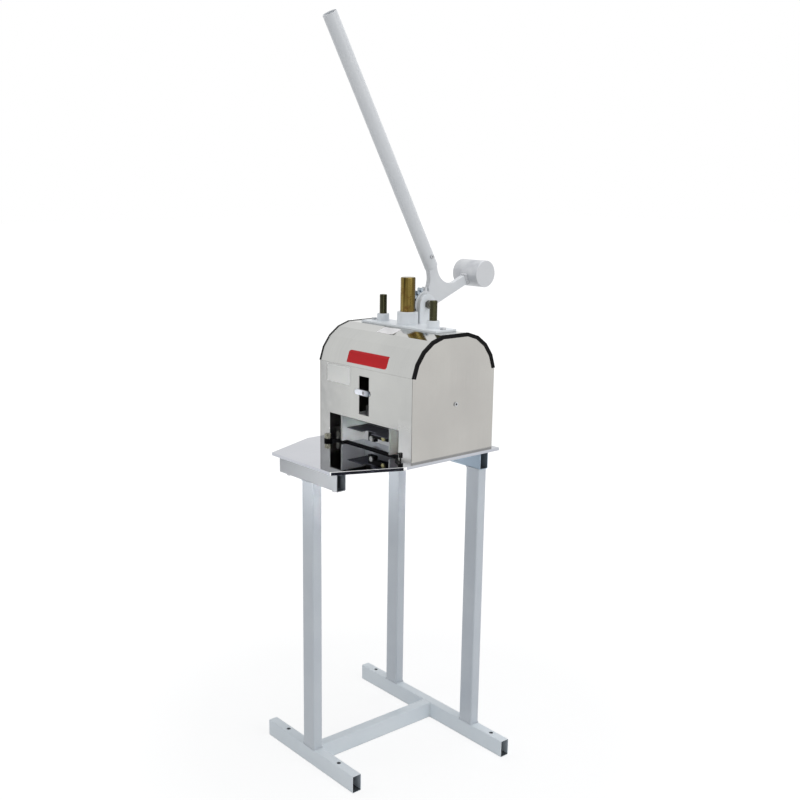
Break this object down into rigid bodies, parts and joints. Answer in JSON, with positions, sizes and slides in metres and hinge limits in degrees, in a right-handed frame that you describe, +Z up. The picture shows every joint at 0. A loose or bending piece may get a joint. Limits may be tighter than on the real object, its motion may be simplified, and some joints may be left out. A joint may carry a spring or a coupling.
{
  "type": "dough divider",
  "caption": "Lever-operated dough divider: a rack press and knife head in a domed sheet housing over a sliding pan, on a polished table and a welded tube stand.",
  "frame": {"origin": "on the floor below the ram's axis, on the underside of the crossbar between the feet", "axes": "+Z up along the ram, +X to the right seen from the front, -Y towards the operator"},
  "size_m": [0.625, 0.661, 2.0209],
  "materials": {
    "paint": "satin",
    "stainless": "polished",
    "steel": "satin",
    "zinc": "satin",
    "rubber": "matte",
    "black_paint": "satin",
    "black_plastic": "matte"
  },
  "bodies": {
    "base": {"front_foot": "paint", "rear_foot": "paint", "foot_crossbar": "paint", "front_leg": "paint", "rear_left_leg": "paint", "rear_right_leg": "paint", "front_rail": "paint", "rear_rail": "paint", "table_plate": "stainless", "table_bolts": "steel", "front_panel": "stainless", "dome_cover": "stainless", "rear_panel": "stainless", "left_side_panel": "stainless", "right_side_panel": "stainless", "left_edge_trim": "rubber", "right_edge_trim": "rubber", "side_screws": "steel", "left_frame_plate": "steel", "right_frame_plate": "steel", "frame_top_plate": "steel", "frame_bolts": "steel", "left_guide_wall": "stainless", "right_guide_wall": "stainless", "top_bridge": "paint", "bridge_screws": "steel", "left_collar": "paint", "centre_collar": "paint", "right_collar": "paint", "left_ear": "paint", "right_ear": "paint", "pivot_bolt": "steel", "pivot_nut": "steel", "gate_stop": "steel", "hinge_bolt": "zinc", "hinge_nut": "zinc"},
    "lever": {"lever_arm": "paint", "handle_tube": "paint", "handle_screw": "steel", "counterweight": "steel"},
    "head": {"ram": "zinc", "ram_nut": "steel", "left_guide_rod": "zinc", "right_guide_rod": "zinc", "crosshead": "steel", "knife_frame": "stainless", "knife_grid": "stainless", "selector_stem": "steel"},
    "pads": {"pad_plate": "steel", "press_pads": "stainless", "pad_bolts": "steel", "pad_springs": "steel"},
    "selector": {"selector_tab": "paint"},
    "pan": {"dough_pan": "stainless", "pan_catch": "black_paint", "catch_bolts": "zinc"},
    "gate": {"gate_bar": "black_paint", "gate_knob": "black_plastic"}
  },
  "joints": [
    {"name": "lever_pivot", "type": "hinge", "parent": "base", "child": "lever", "pos_m": [0, 0.057, 1.273], "axis": [-1, 0, 0], "range_deg": [-70.1, 49.88]},
    {"name": "ram_slide", "type": "slide", "parent": "base", "child": "head", "axis": [0, 0, 1], "range_m": [-0.0521, 0.0371]},
    {"name": "pads_slide", "type": "slide", "parent": "head", "child": "pads", "axis": [0, 0, 1], "range_m": [0, 0.025], "stiffness_N_per_m": 2000, "springref_m": -0.01, "deforming": ["pad_springs"]},
    {"name": "selector_turn", "type": "hinge", "parent": "head", "child": "selector", "pos_m": [0, -0.1568, 1.04394], "axis": [0, 1, 0], "range_deg": [0, 90]},
    {"name": "pan_slide", "type": "slide", "parent": "base", "child": "pan", "axis": [0, -1, 0], "range_m": [0, 0.058]},
    {"name": "gate_swing", "type": "hinge", "parent": "base", "child": "gate", "pos_m": [-0.145, -0.167, 0.888], "axis": [0, 0, -1], "range_deg": [0, 80]}
  ],
  "couplings": [
    {"joint": "ram_slide", "follows": "lever_pivot", "m_per_rad": 0.0425}
  ]
}
